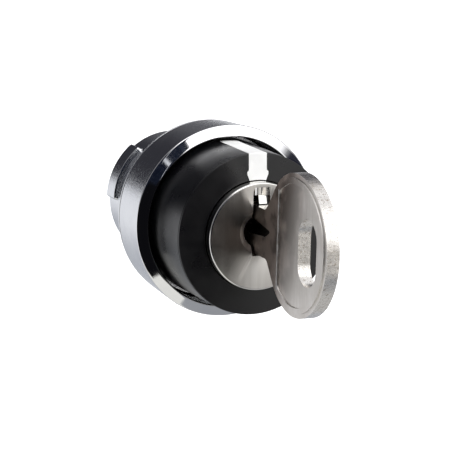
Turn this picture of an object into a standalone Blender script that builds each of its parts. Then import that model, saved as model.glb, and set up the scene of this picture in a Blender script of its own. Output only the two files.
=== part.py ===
"""Key-operated selector head for a 22 mm control panel, modelled piece by piece.

The turning axis is Y. The panel's front surface is the plane y = 0: the bezel, knob, lock
and key stand in front of it (y < 0), the barrel, cam and plungers lie behind it (y > 0).
The pointer stands up, along +Z. Key in, pointer up is the rest position.
"""
import math

import bmesh
import bpy

MM = 0.001
ROUND_STEPS = 64
SMALL_STEPS = 24
GAP = 0.3 * MM                      # running and seating clearance between pieces

# Bezel and barrel, one zinc casting
BEZEL_REAR_R = 14.1 * MM
BEZEL_FRONT_R = 14.5 * MM
BEZEL_EDGE_Y = -8.92 * MM           # crisp outer edge of the polished front ring
BEZEL_LIP_Y = -9.49 * MM            # front ring's inner edge
BEZEL_LIP_R = 12.91 * MM
CAVITY_R = 12.75 * MM
CAVITY_FLOOR_Y = -3.4 * MM
BARREL_R = 10.35 * MM
BORE_R = 9.1 * MM
BARREL_END_Y = 14.2 * MM
LEDGE_R = 7.9 * MM
LEDGE_Y = (1.3 * MM, 2.8 * MM)
RING_GROOVE_R = 9.6 * MM
RING_GROOVE_Y = (12.3 * MM, 13.1 * MM)
PAD_R = 11.05 * MM                  # raised guide pads, just under the hole's radius
PAD_Y = (10.1 * MM, 10.5 * MM, 13.9 * MM)
PAD_ANGLES = (128.4, 179.0)         # degrees about Y from +X towards +Z
GASKET_R = (10.7 * MM, 13.2 * MM)
GASKET_DEPTH = 0.9 * MM

# Knob, pointer and face cap
KNOB_BASE_R = 12.15 * MM
KNOB_FRONT_R = 11.93 * MM
KNOB_BASE_Y = -5.4 * MM
KNOB_FACE_Y = -19.52 * MM
KNOB_WALL = 1.2 * MM
KNOB_WEB_Y = -15.6 * MM
CAP_R = 7.93 * MM
CAP_FACE_Y = -21.05 * MM
CAP_CHAMFER = 0.35 * MM
CAP_DISC = 1.65 * MM
CAP_SKIRT_END_Y = -17.9 * MM
DIMPLE_R = 3.24 * MM                # polished countersink round the keyway
DIMPLE_HOLE_R = 2.5 * MM
DIMPLE_DEPTH = 0.35 * MM
DIMPLE_Z = 0.7 * MM
CAP_SLOT_HALF = 1.3 * MM
CAP_SLOT_Z = (-2.8 * MM, 6.05 * MM)
POINTER_HALF = 1.4 * MM
POINTER_PAD_HALF = 1.65 * MM
POINTER_LOW_Z = 7.9 * MM            # the marker is trimmed there by the knob's round recess
POINTER_DEPTH = 0.65 * MM
POINTER_END_Y = -8.6 * MM
SEAL_R = 11.4 * MM
SEAL_WIRE = 0.7 * MM

# Lock: stator, plug, wafers
STATOR_R = (6.3 * MM, 7.6 * MM)
STATOR_Y = (-17.6 * MM, 1.0 * MM)
STATOR_FLANGE_R = 8.8 * MM
STATOR_FLANGE = 1.5 * MM
PLUG_R = 6.0 * MM
PLUG_HEAD_R = 6.9 * MM
PLUG_FACE_Y = -19.1 * MM
PLUG_END_Y = 1.1 * MM
CLIP_GROOVE_R = 4.9 * MM
CLIP_Y = (1.3 * MM, 2.0 * MM)
COLLAR_Y = (2.25 * MM, 2.8 * MM)
COLLAR_R = 5.6 * MM
TANG_HALF = 2.5 * MM
TANG_END_Y = 6.1 * MM
KEYWAY_HALF = 1.2 * MM
KEYWAY_Z = (-2.6 * MM, 3.6 * MM)
KEYWAY_END_Y = -0.7 * MM
WAFER_COUNT = 5
WAFER_FIRST_Y = -16.6 * MM
WAFER_PITCH = 2.6 * MM
WAFER_THICK = 0.9 * MM
WAFER_HALF = 1.9 * MM
WAFER_R = 5.75 * MM
WAFER_TRAVEL = 0.9 * MM
WAFER_WINDOW_Z = (-3.3 * MM, 3.6 * MM)
WAFER_LUG_X = 3.1 * MM
WAFER_LUG_Z = (-0.2 * MM, 0.9 * MM)
POCKET_X = 3.4 * MM
POCKET_Z = (-4.4 * MM, 2.2 * MM)
LOCKING_ANGLES = (-45.0, 0.0, 45.0)
LOCKING_GROOVE_R = 7.1 * MM

# Index and cam
OCTAGON = 5.9 * MM                  # across-flats radius of the index section
INDEX_Y = (3.1 * MM, 5.2 * MM)
LEAF_THICK = 0.35 * MM
LEAF_HALF = 5.6 * MM
CAM_R = 8.6 * MM
CAM_TRACK_R = 4.1 * MM
CAM_HUB_Y = 6.4 * MM
CAM_MID_Y = 8.4 * MM
PLUNGER_TRAVEL = 1.6 * MM           # each way, over 45 degrees of knob
CAM_RAMP_END = 52.0                 # degrees, past the 45 degree stop
CAM_BORE_R = 1.5 * MM
SCREW_HEAD_R = 2.6 * MM
SCREW_HEAD = 1.7 * MM
SCREW_EDGE = 0.5 * MM               # slope round the head
SCREW_CROSS = (2.0 * MM, 0.3 * MM)  # half length and half width of the driving slots
SCREW_SHANK_R = 1.3 * MM
SCREW_TIP_Y = 2.4 * MM
WASHER_R = 3.6 * MM
WASHER_Y = (6.7 * MM, 7.2 * MM)

# Rear guide and plungers
CAGE_R = 8.8 * MM
CAGE_NECK_R = 8.1 * MM
CAGE_INNER_R = 7.5 * MM
CAGE_Y = (10.6 * MM, 12.1 * MM, 14.6 * MM, 16.0 * MM)
PLUNGER_X = 5.7 * MM
PLUNGER_STEM_R = 1.1 * MM
PLUNGER_COLLAR_R = 1.5 * MM
PLUNGER_TIP_Y = CAM_MID_Y + GAP
PLUNGER_END_Y = 17.4 * MM

# Key, a flat stamped blank in the plane x = 0
KEY_THICK = 1.9 * MM
BOW_CENTRE = (-34.6 * MM, 1.5 * MM)
BOW_R = 10.0 * MM
BOW_NECK_R = 9.6 * MM               # the bow is a little flatter towards the neck
BOW_ARC = (33.0, 322.0)
BOW_BORDER = 1.3 * MM
BOW_CHORD_Y = -29.5 * MM
PANEL_DEPTH = 0.2 * MM
RING_HOLE_Y = -38.45 * MM
RING_HOLE_R = 2.85 * MM
RING_HOLE_Z = (-0.75 * MM, 2.95 * MM)
NECK_Z = (-2.4 * MM, 4.6 * MM)
NECK_LOW_Y = (-25.4 * MM, -25.0 * MM)
NECK_HIGH_Y = (-24.7 * MM, -24.3 * MM)
NECK_FLARE = 0.2 * MM               # the neck widens by this where it meets the bow
SHOULDER_Y = -19.4 * MM
BLADE_Z = (-2.3 * MM, 3.3 * MM)
BLADE_TIP_Y = -1.2 * MM
TIP_Z = (0.2 * MM, 1.2 * MM)        # flat end of the blade's tip
TIP_SLOPE = (0.9 * MM, 1.3 * MM)    # its run below and above that flat
NOTCH_HALF = 0.35 * MM
NOTCH_SLOPE = 0.4
BITTING = (0.7 * MM, 1.3 * MM, 0.4 * MM, 1.0 * MM, 1.6 * MM)

FINISHES = {                        # colour, roughness, metallic
    "chrome": ((0.80, 0.81, 0.83), 0.12, 1.0),
    "steel": ((0.62, 0.60, 0.57), 0.28, 1.0),
    "nickel_silver": ((0.66, 0.62, 0.56), 0.30, 1.0),
    "brass": ((0.72, 0.55, 0.28), 0.32, 1.0),
    "spring_steel": ((0.52, 0.53, 0.55), 0.30, 1.0),
    "black_plastic": ((0.012, 0.012, 0.013), 0.38, 0.0),
    "white_plastic": ((0.88, 0.88, 0.87), 0.40, 0.0),
    "grey_plastic": ((0.30, 0.31, 0.32), 0.50, 0.0),
    "rubber": ((0.03, 0.03, 0.03), 0.80, 0.0),
}


def clear_scene():
    for item in list(bpy.data.objects):
        bpy.data.objects.remove(item, do_unlink=True)


def finish(name):
    """One Principled material for each finish, made on first use."""
    if name in bpy.data.materials:
        return bpy.data.materials[name]
    colour, roughness, metallic = FINISHES[name]
    material = bpy.data.materials.new(name)
    material.use_nodes = True
    shader = material.node_tree.nodes["Principled BSDF"]
    shader.inputs["Base Color"].default_value = (*colour, 1.0)
    shader.inputs["Roughness"].default_value = roughness
    shader.inputs["Metallic"].default_value = metallic
    return material


def add_object(name, shape, finish_name):
    """Turn a bmesh into a shaded object in the scene."""
    bmesh.ops.recalc_face_normals(shape, faces=shape.faces)
    mesh = bpy.data.meshes.new(name)
    shape.to_mesh(mesh)
    shape.free()
    mesh.shade_smooth()
    mesh.set_sharp_from_angle(angle=math.radians(30))
    item = bpy.data.objects.new(name, mesh)
    bpy.context.scene.collection.objects.link(item)
    if finish_name:
        mesh.materials.append(finish(finish_name))
    return item


def ring(name, section_at, finish_name, steps=ROUND_STEPS, start=0.0, end=360.0):
    """Sweep a closed (radius, y) section about Y; it may change with the angle in degrees."""
    whole = end - start >= 360.0
    count = steps if whole else steps + 1
    shape = bmesh.new()
    rows = []
    for index in range(count):
        angle = start + (end - start) * index / steps
        across, up = math.cos(math.radians(angle)), math.sin(math.radians(angle))
        rows.append([shape.verts.new((r * across, y, r * up)) for r, y in section_at(angle)])
    size = len(rows[0])
    for index in range(steps):
        here, there = rows[index], rows[(index + 1) % count]
        for k in range(size):
            shape.faces.new((here[k], here[(k + 1) % size], there[(k + 1) % size], there[k]))
    if not whole:
        shape.faces.new(rows[0])
        shape.faces.new(rows[-1])
    return add_object(name, shape, finish_name)


def turned(name, outline, finish_name, steps=ROUND_STEPS, centre=(0.0, 0.0)):
    """Spin an outline of (radius, y) about a line along Y through centre = (x, z)."""
    on_axis = outline[0][0] == 0.0
    shape = bmesh.new()
    points = [shape.verts.new((r, y, 0.0)) for r, y in outline]
    pairs = zip(points, points[1:] if on_axis else points[1:] + points[:1])
    edges = [shape.edges.new(pair) for pair in pairs]
    bmesh.ops.spin(shape, geom=points + edges, cent=(0, 0, 0), axis=(0, 1, 0),
                   angle=math.tau, steps=steps, use_merge=True)
    bmesh.ops.remove_doubles(shape, verts=shape.verts, dist=1e-7)
    bmesh.ops.translate(shape, verts=shape.verts, vec=(centre[0], 0.0, centre[1]))
    return add_object(name, shape, finish_name)


def prism(name, outline, along, low, high, finish_name=None):
    """Extrude an outline along X (outline in y, z) or along Y (outline in x, z)."""
    shape = bmesh.new()
    if along == "X":
        points = [shape.verts.new((low, a, b)) for a, b in outline]
        step = (high - low, 0.0, 0.0)
    else:
        points = [shape.verts.new((a, low, b)) for a, b in outline]
        step = (0.0, high - low, 0.0)
    face = shape.faces.new(points)
    moved = bmesh.ops.extrude_face_region(shape, geom=[face])["geom"]
    far = [part for part in moved if isinstance(part, bmesh.types.BMVert)]
    bmesh.ops.translate(shape, verts=far, vec=step)
    return add_object(name, shape, finish_name)


def box(name, x, y, z, finish_name=None):
    corners = [(x[0], z[0]), (x[1], z[0]), (x[1], z[1]), (x[0], z[1])]
    return prism(name, corners, "Y", y[0], y[1], finish_name)


def rod(name, radius, y, centre, steps=SMALL_STEPS):
    """A round cutter along Y."""
    outline = [(0.0, y[0]), (radius, y[0]), (radius, y[1]), (0.0, y[1])]
    return turned(name, outline, None, steps, centre)


def combine(item, tool, operation="DIFFERENCE"):
    """Cut item with tool, or join or clip it, and keep the tool as a hidden guide."""
    step = item.modifiers.new(tool.name, "BOOLEAN")
    step.operation = operation
    step.solver = "EXACT"
    step.object = tool
    tool.hide_render = True
    tool.display_type = "WIRE"


def coil(name, start, end, radius, wire, turns, finish_name, side_steps=8):
    """A wound spring between two points that lie on one line along Y or along Z."""
    path = bpy.data.curves.new(name, "CURVE")
    path.dimensions = "3D"
    path.bevel_depth = wire
    path.bevel_resolution = 0
    path.use_fill_caps = True
    count = turns * side_steps
    line = path.splines.new("POLY")
    line.points.add(count)
    along_y = abs(end[1] - start[1]) > abs(end[2] - start[2])
    for index, point in enumerate(line.points):
        share = index / count
        angle = math.tau * turns * share
        middle = [a + (b - a) * share for a, b in zip(start, end)]
        middle[0] += radius * math.cos(angle)
        middle[2 if along_y else 1] += radius * math.sin(angle)
        point.co = (*middle, 1.0)
    item = bpy.data.objects.new(name, path)
    bpy.context.scene.collection.objects.link(item)
    path.materials.append(finish(finish_name))
    return item


def arc(centre, radius, start, end, steps):
    """Points on an arc in degrees, both ends included."""
    angles = [math.radians(start + (end - start) * k / steps) for k in range(steps + 1)]
    return [(centre[0] + radius * math.cos(a), centre[1] + radius * math.sin(a)) for a in angles]


def turn_empty(name):
    """The turning axis, as an empty that carries what turns with the knob."""
    item = bpy.data.objects.new(name, None)
    bpy.context.scene.collection.objects.link(item)
    return item


# ---------------------------------------------------------------- fixed pieces

def casting():
    edge = 0.45 * MM
    outline = [
        (GASKET_R[1] + GAP, 0.0), (BEZEL_REAR_R - edge, 0.0),
        (BEZEL_REAR_R - 0.3 * edge, -0.3 * edge), (BEZEL_REAR_R, -edge),
        (BEZEL_FRONT_R, BEZEL_EDGE_Y + 0.12 * MM), (BEZEL_FRONT_R - 0.1 * MM, BEZEL_EDGE_Y),
        (BEZEL_LIP_R, BEZEL_LIP_Y), (CAVITY_R, BEZEL_LIP_Y + 0.2 * MM),
        (CAVITY_R, CAVITY_FLOOR_Y), (BORE_R, CAVITY_FLOOR_Y),
        (BORE_R, LEDGE_Y[0]), (LEDGE_R, LEDGE_Y[0]), (LEDGE_R, LEDGE_Y[1]), (BORE_R, LEDGE_Y[1]),
        (BORE_R, RING_GROOVE_Y[0]), (RING_GROOVE_R, RING_GROOVE_Y[0]),
        (RING_GROOVE_R, RING_GROOVE_Y[1]), (BORE_R, RING_GROOVE_Y[1]),
        (BORE_R, BARREL_END_Y), (BARREL_R - 0.2 * MM, BARREL_END_Y),
        (BARREL_R, BARREL_END_Y - 0.2 * MM),
        (BARREL_R, -GASKET_DEPTH - GAP), (GASKET_R[1] + GAP, -GASKET_DEPTH - GAP),
    ]
    body = turned("body_casting", outline, "chrome")
    root = BARREL_R - 0.5 * MM
    section = [
        (root, PAD_Y[0]), (BARREL_R + 0.1 * MM, PAD_Y[0] + 0.2 * MM), (PAD_R, PAD_Y[1]),
        (PAD_R, PAD_Y[2] - 0.3 * MM), (PAD_R - 0.25 * MM, PAD_Y[2]), (root, PAD_Y[2]),
    ]
    sides = ((PAD_ANGLES[0], PAD_ANGLES[1]), (180 - PAD_ANGLES[1], 180 - PAD_ANGLES[0]))
    for side, (start, end) in zip(("left", "right"), sides):
        pad = ring("pad_" + side, lambda angle: section, None, 12, start, end)
        combine(body, pad, "UNION")


def panel_gasket():
    inner, outer = GASKET_R
    outline = [(inner, -GASKET_DEPTH), (outer, -GASKET_DEPTH), (outer, 0.0), (inner, 0.0)]
    turned("panel_gasket", outline, "rubber", 48)


def knob_seal():
    middle = (SEAL_R, (CAVITY_FLOOR_Y + KNOB_BASE_Y) / 2)
    turned("knob_seal", arc(middle, SEAL_WIRE, 0, 315, 7), "rubber", 48)


def lock_stator():
    inner, outer = STATOR_R
    front, rear = STATOR_Y
    flange = rear - STATOR_FLANGE
    outline = [(inner, front), (outer, front), (outer, flange), (STATOR_FLANGE_R, flange),
               (STATOR_FLANGE_R, rear), (inner, rear)]
    stator = turned("lock_stator", outline, "brass", 48)
    half = WAFER_HALF + GAP
    depth = (5.2 * MM, LOCKING_GROOVE_R)
    span = (WAFER_FIRST_Y - WAFER_THICK, WAFER_FIRST_Y + WAFER_PITCH * WAFER_COUNT - WAFER_THICK)
    for index, angle in enumerate(LOCKING_ANGLES):
        groove = box("locking_groove_%d" % (index + 1), (-half, half), span, depth)
        groove.rotation_euler = (0.0, math.radians(angle), 0.0)
        combine(stator, groove)


def index_springs():
    """Two flat springs that bear on the cam's octagon and hold each 45 degree position."""
    inner = OCTAGON + GAP
    low, high = INDEX_Y[0] + GAP, INDEX_Y[1] - GAP
    for side, sign in (("left", -1), ("right", 1)):
        faces = sorted((sign * inner, sign * (inner + LEAF_THICK)))
        box("index_spring_" + side, faces, (low, high), (-LEAF_HALF, LEAF_HALF), "spring_steel")


def rear_cage():
    front, shoulder, floor, rear = CAGE_Y
    outline = [
        (CAGE_INNER_R, front), (CAGE_R, front), (CAGE_R, shoulder), (CAGE_NECK_R, shoulder),
        (CAGE_NECK_R, rear - GAP), (CAGE_NECK_R - GAP, rear), (2.0 * MM, rear), (2.0 * MM, floor),
        (CAGE_INNER_R, floor),
    ]
    cage = turned("rear_cage", outline, "black_plastic", 48)
    for side, sign in (("left", -1), ("right", 1)):
        hole = rod("stem_hole_" + side, PLUNGER_STEM_R + GAP, (floor - MM, rear + MM),
                   (sign * PLUNGER_X, 0.0))
        combine(cage, hole)


def retaining_ring():
    """An open snap ring in the barrel's groove, behind the cage's shoulder."""
    inner, outer = CAGE_NECK_R + GAP, RING_GROOVE_R - 0.25 * MM
    front, rear = RING_GROOVE_Y[0] + 0.15 * MM, RING_GROOVE_Y[1] - 0.15 * MM
    section = [(inner, front), (outer, front), (outer, rear), (inner, rear)]
    ring("retaining_ring", lambda angle: section, "spring_steel", 40, -75.0, 255.0)


def plunger_springs():
    collar_y = PLUNGER_TIP_Y + 2.2 * MM
    for side, sign in (("left", -1), ("right", 1)):
        x = sign * PLUNGER_X
        coil("plunger_spring_" + side, (x, collar_y + GAP, 0.0), (x, CAGE_Y[2] - GAP, 0.0),
             1.32 * MM, 0.13 * MM, 4, "spring_steel", 10)


# ---------------------------------------------------------------- pieces that turn

def pointer_shape(name, grow, finish_name=None):
    """White marker: a tab on the knob's face and a strip down its side, at the top."""
    half, pad = POINTER_HALF + grow, POINTER_PAD_HALF + grow
    low, top = POINTER_LOW_Z - grow, KNOB_BASE_R
    waist, widest, narrow = low + 1.6 * MM, low + 1.3 * MM, low + 0.9 * MM
    face = [
        (-half, top), (-half, waist), (-pad, widest), (-pad, narrow), (-pad + 0.3 * MM, low),
        (pad - 0.3 * MM, low), (pad, narrow), (pad, widest), (half, waist), (half, top),
    ]
    front = KNOB_FACE_Y - 0.03 * MM - 4 * grow
    back = KNOB_FACE_Y + POINTER_DEPTH + grow
    tab = prism(name, face, "Y", front, back, finish_name)
    strip = box(name + "_side", (-half, half), (front + 0.1 * MM, POINTER_END_Y + grow),
                (KNOB_FRONT_R - POINTER_DEPTH - grow, KNOB_BASE_R + 4 * grow))
    combine(tab, strip, "UNION")
    return tab


def knob_outline(grow=0.0):
    """The knob's outer radius at a height, as two end points."""
    return (KNOB_FRONT_R + grow, KNOB_FACE_Y - grow), (KNOB_BASE_R + grow, KNOB_BASE_Y)


def knob_shell():
    recess = CAP_R + GAP
    bore = STATOR_R[1] + GAP
    (front_r, front_y), (base_r, base_y) = knob_outline()
    edge = 0.25 * MM
    outline = [
        (recess, front_y), (front_r - edge, front_y), (front_r, front_y + edge), (base_r, base_y),
        (base_r - KNOB_WALL, base_y), (base_r - KNOB_WALL, KNOB_WEB_Y),
        (bore + KNOB_WALL, KNOB_WEB_Y), (bore + KNOB_WALL, base_y), (bore, base_y),
        (bore, CAP_SKIRT_END_Y + GAP), (recess, CAP_SKIRT_END_Y + GAP),
    ]
    knob = turned("knob_shell", outline, "black_plastic")
    combine(knob, pointer_shape("pointer_slot", 0.06 * MM))


def pointer_insert():
    pointer = pointer_shape("pointer_insert", 0.0, "white_plastic")
    (front_r, front_y), (base_r, base_y) = knob_outline(0.03 * MM)
    recess = CAP_R + GAP
    hull = [(recess, front_y), (front_r, front_y), (base_r, base_y), (recess, base_y)]
    combine(pointer, turned("pointer_hull", hull, None, 128), "INTERSECT")


def face_cap():
    inner = PLUG_HEAD_R + GAP
    disc = CAP_FACE_Y + CAP_DISC
    outline = [
        (0.0, CAP_FACE_Y), (CAP_R - CAP_CHAMFER, CAP_FACE_Y), (CAP_R, CAP_FACE_Y + CAP_CHAMFER),
        (CAP_R, CAP_SKIRT_END_Y), (inner, CAP_SKIRT_END_Y), (inner, disc), (0.0, disc),
    ]
    cap = turned("face_cap", outline, "steel")
    slope = DIMPLE_R - DIMPLE_HOLE_R
    cone = [(0.0, CAP_FACE_Y - DIMPLE_DEPTH), (DIMPLE_R + slope, CAP_FACE_Y - DIMPLE_DEPTH),
            (DIMPLE_HOLE_R, CAP_FACE_Y + DIMPLE_DEPTH), (DIMPLE_HOLE_R, disc + MM),
            (0.0, disc + MM)]
    combine(cap, turned("dimple", cone, None, 40, (0.0, DIMPLE_Z)))
    slot = box("cap_slot", (-CAP_SLOT_HALF, CAP_SLOT_HALF), (CAP_FACE_Y - MM, disc + MM),
               CAP_SLOT_Z)
    combine(cap, slot)


def wafer_y(index):
    return WAFER_FIRST_Y + index * WAFER_PITCH


def lock_plug():
    outline = [
        (0.0, PLUG_FACE_Y), (PLUG_HEAD_R, PLUG_FACE_Y), (PLUG_HEAD_R, STATOR_Y[0] - GAP),
        (PLUG_R, STATOR_Y[0] - GAP), (PLUG_R, PLUG_END_Y), (CLIP_GROOVE_R, PLUG_END_Y),
        (CLIP_GROOVE_R, COLLAR_Y[0]), (COLLAR_R, COLLAR_Y[0]), (COLLAR_R, COLLAR_Y[1]),
        (0.0, COLLAR_Y[1]),
    ]
    plug = turned("lock_plug", outline, "brass", 48)
    half = TANG_HALF
    tang = box("plug_tang", (-half, half), (COLLAR_Y[0] - MM, TANG_END_Y), (-half, half))
    combine(plug, tang, "UNION")
    combine(plug, rod("screw_hole", SCREW_SHANK_R + GAP, (2.0 * MM, TANG_END_Y + MM), (0, 0), 16))
    keyway = box("keyway", (-KEYWAY_HALF, KEYWAY_HALF), (PLUG_FACE_Y - MM, KEYWAY_END_Y), KEYWAY_Z)
    combine(plug, keyway)
    across = WAFER_HALF + 0.25 * MM
    deep = (WAFER_THICK + GAP) / 2
    for index in range(WAFER_COUNT):
        span = (wafer_y(index) - deep, wafer_y(index) + deep)
        slot = box("wafer_slot_%d" % (index + 1), (-across, across), span, (-7 * MM, 7 * MM))
        pocket = box("spring_pocket_%d" % (index + 1), (0.0, POCKET_X), span, POCKET_Z)
        combine(plug, slot)
        combine(plug, pocket)


def lock_circlip():
    inner, outer = CLIP_GROOVE_R + 0.15 * MM, 7.2 * MM
    section = [(inner, CLIP_Y[0]), (outer, CLIP_Y[0]), (outer, CLIP_Y[1]), (inner, CLIP_Y[1])]
    ring("lock_circlip", lambda angle: section, "spring_steel", 32, -60.0, 240.0)


def octagon_radius(angle):
    off_flat = (angle + 22.5) % 45.0 - 22.5
    return OCTAGON / math.cos(math.radians(off_flat))


def cam_rise(angle):
    """How far the track stands above its middle: high at the top, low at the bottom."""
    from_side = (angle + 90.0) % 360.0 - 90.0          # -90 at the bottom, 90 at the top
    if from_side > 90.0:
        from_side = 180.0 - from_side
    slope = PLUNGER_TRAVEL / 45.0
    return slope * max(-CAM_RAMP_END, min(CAM_RAMP_END, from_side))


def drive_cam():
    def section(angle):
        flat = octagon_radius(angle)
        track = CAM_MID_Y + cam_rise(angle)
        return [
            (CAM_BORE_R, INDEX_Y[0]), (flat, INDEX_Y[0]), (flat, INDEX_Y[1]),
            (CAM_R, INDEX_Y[1]), (CAM_R, track), (CAM_TRACK_R, track),
            (CAM_TRACK_R, CAM_HUB_Y), (CAM_BORE_R, CAM_HUB_Y),
        ]
    cam = ring("drive_cam", section, "grey_plastic", 72)
    half = TANG_HALF + GAP
    hole = box("tang_hole", (-half, half), (INDEX_Y[0] - MM, CAM_HUB_Y + MM), (-half, half))
    combine(cam, hole)


def cam_fixing():
    front, rear = WASHER_Y
    inner = SCREW_SHANK_R + GAP
    washer = [(inner, front), (WASHER_R, front), (WASHER_R, rear), (inner, rear)]
    turned("cam_washer", washer, "steel", 32)
    head = rear + GAP
    top = head + SCREW_HEAD
    screw = [
        (0.0, SCREW_TIP_Y), (SCREW_SHANK_R, SCREW_TIP_Y), (SCREW_SHANK_R, head),
        (SCREW_HEAD_R, head), (SCREW_HEAD_R, top - SCREW_EDGE), (SCREW_HEAD_R - SCREW_EDGE, top),
        (0.0, top),
    ]
    item = turned("cam_screw", screw, "steel", 32)
    for name, (x, z) in (("across", SCREW_CROSS), ("upright", SCREW_CROSS[::-1])):
        slot = box("screw_cross_" + name, (-x, x), (head + SCREW_HEAD / 2, top + MM), (-z, z))
        combine(item, slot)


def wafer_springs():
    x = (WAFER_HALF + POCKET_X) / 2
    for index in range(WAFER_COUNT):
        y = wafer_y(index)
        coil("wafer_spring_%d" % (index + 1), (x, y, POCKET_Z[0] + 0.15 * MM),
             (x, y, WAFER_LUG_Z[0] - 0.15 * MM), 0.4 * MM, 0.09 * MM, 4, "spring_steel", 6)


# ---------------------------------------------------------------- wafers, plungers, key

def wafers():
    ends = [k / 4 * WAFER_HALF for k in range(-4, 5)]
    top = [(x, math.sqrt(WAFER_R ** 2 - x ** 2)) for x in reversed(ends)]
    bottom = [(x, -z) for x, z in reversed(top)]
    lug = [(WAFER_HALF, WAFER_LUG_Z[0]), (WAFER_LUG_X, WAFER_LUG_Z[0]),
           (WAFER_LUG_X, WAFER_LUG_Z[1]), (WAFER_HALF, WAFER_LUG_Z[1])]
    for index in range(WAFER_COUNT):
        y = wafer_y(index)
        low, high = y - WAFER_THICK / 2, y + WAFER_THICK / 2
        wafer = prism("wafer_%d" % (index + 1), bottom + lug + top, "Y", low, high, "brass")
        window = box("wafer_window_%d" % (index + 1), (-KEYWAY_HALF, KEYWAY_HALF),
                     (low - MM, high + MM), WAFER_WINDOW_Z)
        combine(wafer, window)


def plungers():
    tip, end = PLUNGER_TIP_Y, PLUNGER_END_Y
    stem, collar = PLUNGER_STEM_R, PLUNGER_COLLAR_R
    outline = [
        (0.0, tip), (0.55 * stem, tip + 0.15 * MM), (0.9 * stem, tip + 0.5 * MM),
        (stem, tip + 1.2 * MM), (collar, tip + 1.4 * MM), (collar, tip + 2.2 * MM),
        (stem, tip + 2.2 * MM), (stem, end - GAP), (stem - GAP, end), (0.0, end),
    ]
    for side, sign in (("left", -1), ("right", 1)):
        turned("plunger_" + side, outline, "white_plastic", 20, (sign * PLUNGER_X, 0.0))


def bow_curve(radius, neck_radius, start, end, steps):
    """Points of the bow about its centre, flatter on the side of the neck."""
    points = []
    for k in range(steps + 1):
        angle = math.radians(start + (end - start) * k / steps)
        across = neck_radius if math.cos(angle) > 0 else radius
        points.append((BOW_CENTRE[0] + across * math.cos(angle),
                       BOW_CENTRE[1] + radius * math.sin(angle)))
    return points


def blade_top():
    """The blade's cut edge from the tip to the shoulder, one notch under each wafer."""
    edge = [(BLADE_TIP_Y - TIP_SLOPE[1], BLADE_Z[1])]
    for index in reversed(range(WAFER_COUNT)):
        y, depth = wafer_y(index), BITTING[index]
        reach = NOTCH_HALF + NOTCH_SLOPE * depth
        edge += [(y + reach, BLADE_Z[1]), (y + NOTCH_HALF, BLADE_Z[1] - depth),
                 (y - NOTCH_HALF, BLADE_Z[1] - depth), (y - reach, BLADE_Z[1])]
    return edge + [(SHOULDER_Y, BLADE_Z[1])]


def key():
    bow = bow_curve(BOW_R, BOW_NECK_R, BOW_ARC[0], BOW_ARC[1], 44)
    neck_low = [(NECK_LOW_Y[0], NECK_Z[0] - NECK_FLARE), (NECK_LOW_Y[1], NECK_Z[0])]
    neck_high = [(SHOULDER_Y, NECK_Z[1]), (NECK_HIGH_Y[1], NECK_Z[1]),
                 (NECK_HIGH_Y[0], NECK_Z[1] + NECK_FLARE)]
    blade = [(SHOULDER_Y, NECK_Z[0]), (SHOULDER_Y, BLADE_Z[0]),
             (BLADE_TIP_Y - TIP_SLOPE[0], BLADE_Z[0]), (BLADE_TIP_Y, TIP_Z[0]),
             (BLADE_TIP_Y, TIP_Z[1])]
    outline = bow + neck_low + blade + blade_top() + neck_high
    half = KEY_THICK / 2
    item = prism("key", outline, "X", -half, half, "nickel_silver")
    centre = (RING_HOLE_Y, RING_HOLE_Z[1])
    hole = arc(centre, RING_HOLE_R, 0, 180, 10)
    hole += arc((RING_HOLE_Y, RING_HOLE_Z[0]), RING_HOLE_R, 180, 360, 10)
    combine(item, prism("key_ring_hole", hole, "X", -2 * half, 2 * half))
    inner = BOW_R - BOW_BORDER
    reach = math.degrees(math.acos((BOW_CHORD_Y - BOW_CENTRE[0]) / inner))
    panel = arc(BOW_CENTRE, inner, reach, 360.0 - reach, 32)
    for side, sign in (("left", -1), ("right", 1)):
        faces = sorted((sign * (half - PANEL_DEPTH), sign * (half + MM)))
        combine(item, prism("bow_panel_" + side, panel, "X", *faces))


def main():
    clear_scene()
    for make in (casting, panel_gasket, knob_seal, lock_stator, index_springs, rear_cage,
                 retaining_ring, plunger_springs, plungers, key, wafers):
        make()
    axis = turn_empty("selector_axis")
    fixed = set(bpy.data.objects)
    for make in (knob_shell, pointer_insert, face_cap, lock_plug, lock_circlip, drive_cam,
                 cam_fixing, wafer_springs):
        make()
    for item in set(bpy.data.objects) - fixed:
        item.parent = axis


main()
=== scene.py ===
"""Looks for the key selector head: finely modelled casing, knob, lock face and key around
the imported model, with procedural materials and a plain bright studio."""
import math

import bmesh
import bpy
from mathutils import Matrix, Vector

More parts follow.
